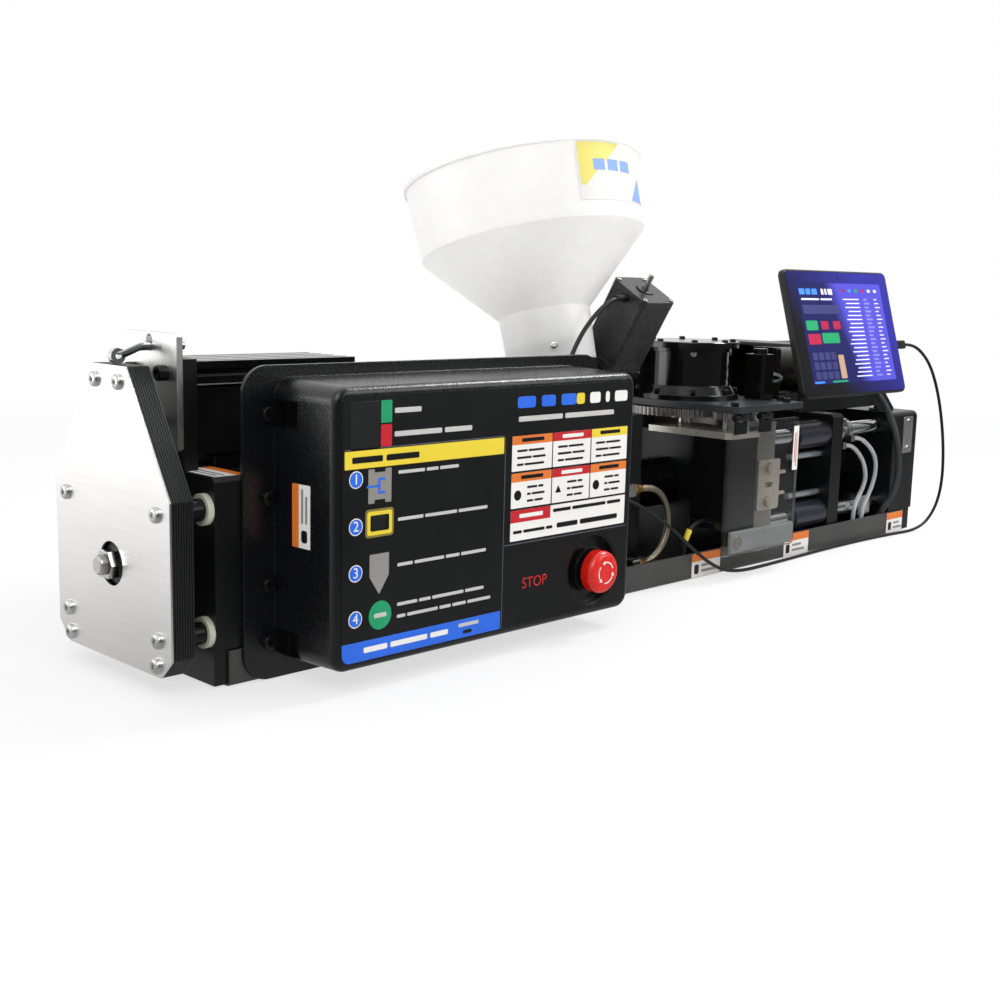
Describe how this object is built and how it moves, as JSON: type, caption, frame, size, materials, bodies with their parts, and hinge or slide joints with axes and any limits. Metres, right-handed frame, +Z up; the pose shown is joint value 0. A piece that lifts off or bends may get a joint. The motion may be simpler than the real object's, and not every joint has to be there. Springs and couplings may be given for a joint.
{
  "type": "desktop injection molding machine",
  "caption": "Bench plastic molding machine with a hopper, a screw-driven plunger, a geared nozzle valve, a clamp on tie bars, a control housing, a guard door and a tablet on a sheet tray.",
  "frame": {"origin": "on the underside of the base tray, below the injection axis", "axes": "+X along the injection axis from the belt end to the screen end, +Y from the control side to the back, +Z up"},
  "size_m": [1.3325, 0.383, 0.5174],
  "materials": {
    "tray_black": "satin",
    "stainless": "brushed",
    "laminate_black": "matte",
    "anodised_black": "satin",
    "aluminium": "satin",
    "chrome": "polished",
    "steel": "ground",
    "sleeve_black": "satin",
    "clamp_tan": "ground",
    "nylon_white": "matte",
    "hopper_white": "satin",
    "motor_black": "satin",
    "housing_black": "textured",
    "belt_rubber": "matte",
    "stop_red": "gloss",
    "clear_sheet": "clear",
    "tube_clear": "gloss",
    "tablet_black": "gloss",
    "cable_black": "matte"
  },
  "bodies": {
    "frame": {"base_tray": "tray_black", "rear_panel": "tray_black", "end_cover": "stainless", "drive_tie_rods": "stainless", "belt_housing": "laminate_black", "thrust_block": "anodised_black", "upright_plate": "anodised_black", "barrel_plate": "anodised_black", "feed_block": "anodised_black", "nozzle_block": "anodised_black", "top_plate": "anodised_black", "bearing_drum": "anodised_black", "clamp_housing": "anodised_black", "guard_hinges": "anodised_black", "tablet_bracket": "anodised_black", "bracket_plate": "aluminium", "top_rail": "aluminium", "plate_posts": "aluminium", "clamp_cylinder": "aluminium", "chrome_rod": "chrome", "tie_bars": "chrome", "tube_fittings": "chrome", "screw_bearing": "steel", "barrel": "steel", "heater_bands": "steel", "motor_plate": "steel", "fixed_platen": "steel", "side_clamps": "clamp_tan", "nylon_washers": "nylon_white", "hopper": "hopper_white", "injection_motor": "motor_black", "feed_motor": "motor_black", "valve_motor": "motor_black", "valve_sensor": "motor_black", "control_housing": "housing_black", "stop_collar": "housing_black", "drive_belt": "belt_rubber", "coolant_tubes": "tube_clear", "tablet": "tablet_black", "tablet_plug": "cable_black", "tablet_cord": "cable_black"},
    "screw": {"ball_screw": "steel", "lock_nut": "steel", "screw_pulley": "aluminium"},
    "motor_rotor": {"motor_pulley": "aluminium"},
    "ram": {"ram_carriage": "anodised_black", "ball_nut": "steel", "plunger": "steel"},
    "auger": {"feed_auger": "steel"},
    "valve": {"valve_gear": "steel"},
    "pinion": {"valve_pinion": "steel"},
    "platen": {"moving_platen": "anodised_black", "platen_sleeves": "sleeve_black", "guide_pins": "steel", "clamp_ram": "chrome"},
    "guard": {"guard_door": "clear_sheet", "guard_bar": "clear_sheet", "guard_straps": "anodised_black"},
    "stop_stem": {"stop_stem": "housing_black"},
    "stop_head": {"stop_button": "stop_red"}
  },
  "joints": [
    {"name": "plunger_slide", "type": "slide", "parent": "frame", "child": "ram", "axis": [1, 0, 0], "range_m": [0, 0.08]},
    {"name": "screw_spin", "type": "hinge", "parent": "frame", "child": "screw", "pos_m": [-0.61, 0, 0.1046], "axis": [1, 0, 0], "range_deg": [0, 1440.5]},
    {"name": "motor_spin", "type": "hinge", "parent": "frame", "child": "motor_rotor", "pos_m": [-0.61, 0, 0.2296], "axis": [1, 0, 0], "range_deg": [0, 3728]},
    {"name": "auger_spin", "type": "hinge", "parent": "frame", "child": "auger", "pos_m": [0.02, 0, 0.234], "axis": [0, -0.5, 0.866], "continuous": true},
    {"name": "valve_turn", "type": "hinge", "parent": "frame", "child": "valve", "pos_m": [0.199, 0, 0.2011], "axis": [0, 0, 1], "range_deg": [0, 90]},
    {"name": "pinion_spin", "type": "hinge", "parent": "frame", "child": "pinion", "pos_m": [0.167, -0.08839, 0.2011], "axis": [0, 0, 1], "range_deg": [-439, 0]},
    {"name": "clamp_slide", "type": "slide", "parent": "frame", "child": "platen", "axis": [-1, 0, 0], "range_m": [0, 0.06]},
    {"name": "guard_lift", "type": "hinge", "parent": "frame", "child": "guard", "pos_m": [0.17, -0.126, 0.202], "axis": [-1, 0, 0], "range_deg": [0, 100]},
    {"name": "stop_press", "type": "slide", "parent": "frame", "child": "stop_stem", "axis": [0, 1, 0], "range_m": [0, 0.004], "stiffness_N_per_m": 900},
    {"name": "stop_twist", "type": "hinge", "parent": "stop_stem", "child": "stop_head", "pos_m": [-0.184, -0.19, 0.068], "axis": [0, 1, 0], "range_deg": [0, 30], "stiffness_Nm_per_rad": 0.06}
  ],
  "couplings": [
    {"joint": "screw_spin", "follows": "plunger_slide", "rad_per_m": 314.16},
    {"joint": "motor_spin", "follows": "plunger_slide", "rad_per_m": 813.12},
    {"joint": "pinion_spin", "follows": "valve_turn", "ratio": -4.875}
  ]
}
